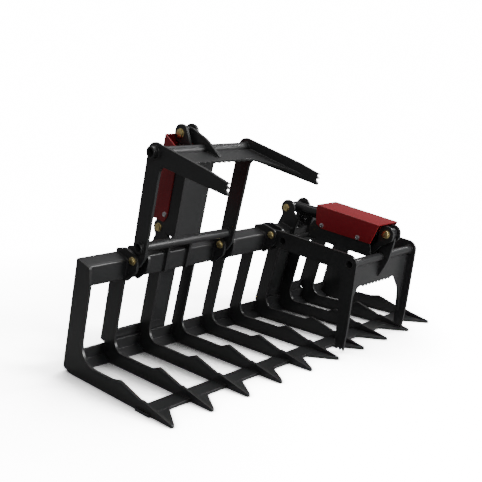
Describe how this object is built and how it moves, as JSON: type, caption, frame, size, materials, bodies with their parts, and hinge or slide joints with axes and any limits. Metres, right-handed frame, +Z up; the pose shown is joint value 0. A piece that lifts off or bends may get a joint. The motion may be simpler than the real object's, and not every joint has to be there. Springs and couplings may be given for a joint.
{
  "type": "skeleton grapple",
  "caption": "Skid-steer skeleton grapple: tined rake frame under a square beam, with two independent hydraulic clamping arms.",
  "frame": {"origin": "middle of the footprint, on the ground under the tines", "axes": "+X along the rake's width, -Y towards the tine tips, +Z up"},
  "size_m": [1.8468, 0.8396, 1.091],
  "materials": {
    "black_powder_coat": "satin black powder coat",
    "red_powder_coat": "satin red powder coat",
    "black_enamel": "semi-gloss black enamel",
    "yellow_zinc": "yellow zinc-plated steel",
    "bright_zinc": "bright zinc-plated steel",
    "hard_chrome": "hard chrome",
    "machined_steel": "machined steel"
  },
  "bodies": {
    "frame": {"tine_01": "black_powder_coat", "tine_02": "black_powder_coat", "tine_03": "black_powder_coat", "tine_04": "black_powder_coat", "tine_05": "black_powder_coat", "tine_06": "black_powder_coat", "tine_07": "black_powder_coat", "tine_08": "black_powder_coat", "tine_09": "black_powder_coat", "tine_10": "black_powder_coat", "front_bar": "black_powder_coat", "tooth_gussets": "black_powder_coat", "heel_cross_plate": "black_powder_coat", "top_beam": "black_powder_coat", "quick_attach_plate_left": "black_powder_coat", "quick_attach_plate_right": "black_powder_coat", "quick_attach_hooks": "black_powder_coat", "hinge_lugs": "black_powder_coat", "pivot_bolts": "yellow_zinc", "pivot_sleeves": "black_enamel", "cylinder_base_lugs": "black_powder_coat", "cylinder_base_bolts": "yellow_zinc", "cylinder_base_spacers": "black_enamel"},
    "left_arm": {"left_arm_outer_side_plate": "black_powder_coat", "left_arm_inner_side_plate": "black_powder_coat", "left_arm_lower_tube": "black_powder_coat", "left_arm_upper_tube": "black_powder_coat", "left_arm_front_plate": "black_powder_coat", "left_arm_spine": "black_powder_coat", "left_arm_rod_lugs": "black_powder_coat", "left_cylinder_guard": "red_powder_coat", "left_guard_bolts": "bright_zinc", "left_rod_pin_bolt": "yellow_zinc"},
    "left_barrel": {"left_cylinder_barrel": "black_enamel", "left_cylinder_base_eye": "black_enamel", "left_cylinder_gland": "black_enamel", "left_cylinder_ports": "bright_zinc"},
    "left_rod": {"left_cylinder_rod": "hard_chrome", "left_cylinder_piston": "machined_steel", "left_rod_eye": "black_enamel"},
    "right_arm": {"right_arm_outer_side_plate": "black_powder_coat", "right_arm_inner_side_plate": "black_powder_coat", "right_arm_lower_tube": "black_powder_coat", "right_arm_upper_tube": "black_powder_coat", "right_arm_front_plate": "black_powder_coat", "right_arm_spine": "black_powder_coat", "right_arm_rod_lugs": "black_powder_coat", "right_cylinder_guard": "red_powder_coat", "right_guard_bolts": "bright_zinc", "right_rod_pin_bolt": "yellow_zinc"},
    "right_barrel": {"right_cylinder_barrel": "black_enamel", "right_cylinder_base_eye": "black_enamel", "right_cylinder_gland": "black_enamel", "right_cylinder_ports": "bright_zinc"},
    "right_rod": {"right_cylinder_rod": "hard_chrome", "right_cylinder_piston": "machined_steel", "right_rod_eye": "black_enamel"}
  },
  "joints": [
    {"name": "left_arm_swing", "type": "hinge", "parent": "frame", "child": "left_arm", "pos_m": [-0.4336, 0.15595, 0.51787], "axis": [1, 0, 0], "range_deg": [0, 80.5]},
    {"name": "left_cylinder_tilt", "type": "hinge", "parent": "left_arm", "child": "left_rod", "pos_m": [-0.4336, 0.11951, 1.05066], "axis": [1, 0, 0], "range_deg": [-0.753, 0]},
    {"name": "left_barrel_stroke", "type": "slide", "parent": "left_rod", "child": "left_barrel", "axis": [0, 0.2708, -0.9626], "range_m": [0, 0.17811]},
    {"name": "right_arm_swing", "type": "hinge", "parent": "frame", "child": "right_arm", "pos_m": [0.4336, 0.15595, 0.51787], "axis": [1, 0, 0], "range_deg": [-80.5, 0]},
    {"name": "right_cylinder_tilt", "type": "hinge", "parent": "right_arm", "child": "right_rod", "pos_m": [0.4336, -0.37555, 0.56987], "axis": [1, 0, 0], "range_deg": [0, 0.753]},
    {"name": "right_barrel_stroke", "type": "slide", "parent": "right_rod", "child": "right_barrel", "axis": [0, 0.9955, 0.0952], "range_m": [-0.17811, 0]}
  ],
  "couplings": [
    {"joint": "left_cylinder_tilt", "follows": "left_arm_swing", "ratio": -0.009321},
    {"joint": "left_barrel_stroke", "follows": "left_arm_swing", "m_per_rad": 0.12676},
    {"joint": "right_cylinder_tilt", "follows": "right_arm_swing", "ratio": -0.009321},
    {"joint": "right_barrel_stroke", "follows": "right_arm_swing", "m_per_rad": 0.12676}
  ]
}
